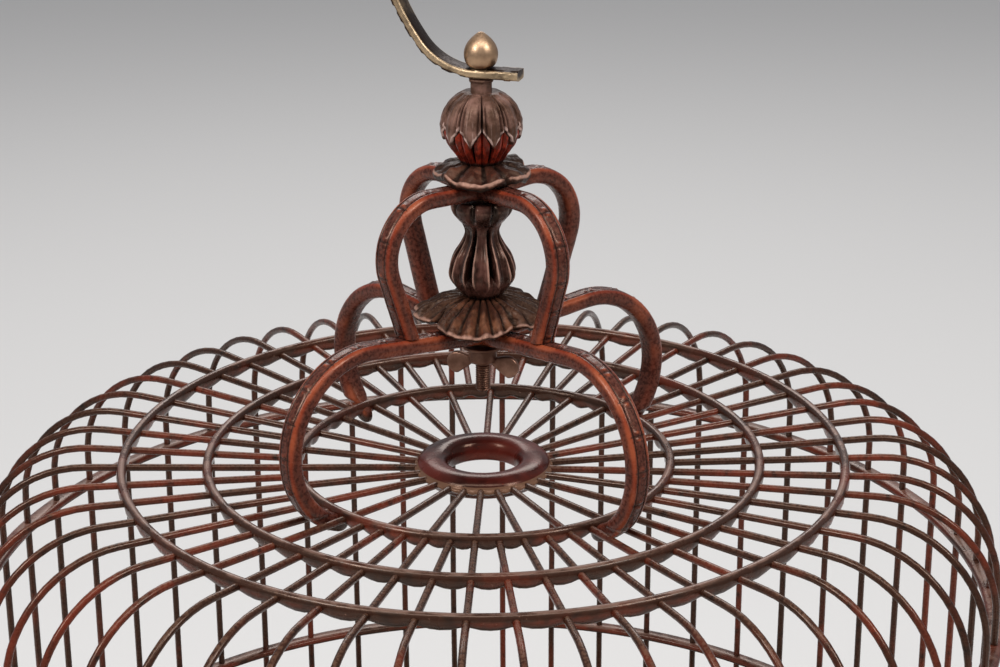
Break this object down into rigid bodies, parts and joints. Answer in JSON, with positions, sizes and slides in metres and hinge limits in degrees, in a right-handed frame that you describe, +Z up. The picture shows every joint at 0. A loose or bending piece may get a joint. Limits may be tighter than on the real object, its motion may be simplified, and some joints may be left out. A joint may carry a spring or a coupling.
{
  "type": "bird cage",
  "caption": "Round bamboo bird cage with a domed shoulder, slatted floor, lift-up door, carved two-tier crown and a swivelling brass hanging hook.",
  "frame": {"origin": "centre of the cage on the surface that its four feet stand on", "axes": "+Z up along the cage's axis and the tie rod, -Y towards the door"},
  "size_m": [0.3646, 0.3646, 0.5625],
  "materials": {
    "lacquered_bars": "split bamboo under dark red-brown lacquer, worn to a grey sheen on the outside",
    "lacquered_hoops": "glossy dark brown lacquer over bent bamboo, with red tints and dust",
    "red_lacquer": "glossy red lacquer with dark shading",
    "base_lacquer": "satin dark brown lacquer",
    "plain_bamboo": "plain split bamboo, oiled",
    "perch_wood": "bare round wood with a fine grain",
    "carved_arms": "carved wood, dark brown outside with worn orange-red edges and inner faces",
    "carved_leaf": "carved wood with rubbed red-brown lacquer and pale worn rims",
    "carved_petals": "carved wood with dark lacquer in the grooves and pale worn petal edges",
    "rod_brass": "dull brown brass",
    "bright_brass": "brushed brass",
    "aged_brass": "cast brass with brown tarnish in the relief and bright rubbed edges"
  },
  "bodies": {
    "root": {"long_bars": "lacquered_bars", "short_bars": "lacquered_bars", "outer_roof_hoop": "lacquered_hoops", "middle_roof_hoop": "lacquered_hoops", "inner_roof_hoop": "lacquered_hoops", "shoulder_hoop": "lacquered_hoops", "upper_wall_hoop": "lacquered_hoops", "lower_wall_hoop": "lacquered_hoops", "hub_ring": "red_lacquer", "base_ring": "base_lacquer", "feet": "base_lacquer", "floor_slats": "plain_bamboo", "floor_bearers": "plain_bamboo", "perch": "perch_wood", "guide_rods": "lacquered_bars", "guide_blocks": "lacquered_hoops", "lower_arm_front_right": "carved_arms", "upper_arm_front_right": "carved_arms", "lower_arm_back_right": "carved_arms", "upper_arm_back_right": "carved_arms", "lower_arm_back_left": "carved_arms", "upper_arm_back_left": "carved_arms", "lower_arm_front_left": "carved_arms", "upper_arm_front_left": "carved_arms", "lower_leaf": "carved_leaf", "baluster": "carved_petals", "upper_leaf": "carved_leaf", "bud": "carved_petals", "tie_rod": "rod_brass", "washer": "rod_brass", "wing_nut": "rod_brass", "acorn_nut": "bright_brass"},
    "door": {"door_top_rail": "lacquered_hoops", "door_bottom_rail": "lacquered_hoops", "door_bars": "lacquered_bars"},
    "hook": {"hook": "aged_brass"}
  },
  "joints": [
    {"name": "door_lift", "type": "slide", "parent": "root", "child": "door", "axis": [0, 0, 1], "range_m": [0, 0.095]},
    {"name": "hook_swivel", "type": "hinge", "parent": "root", "child": "hook", "pos_m": [0, 0, 0.4809], "axis": [0, 0, 1], "continuous": true}
  ]
}
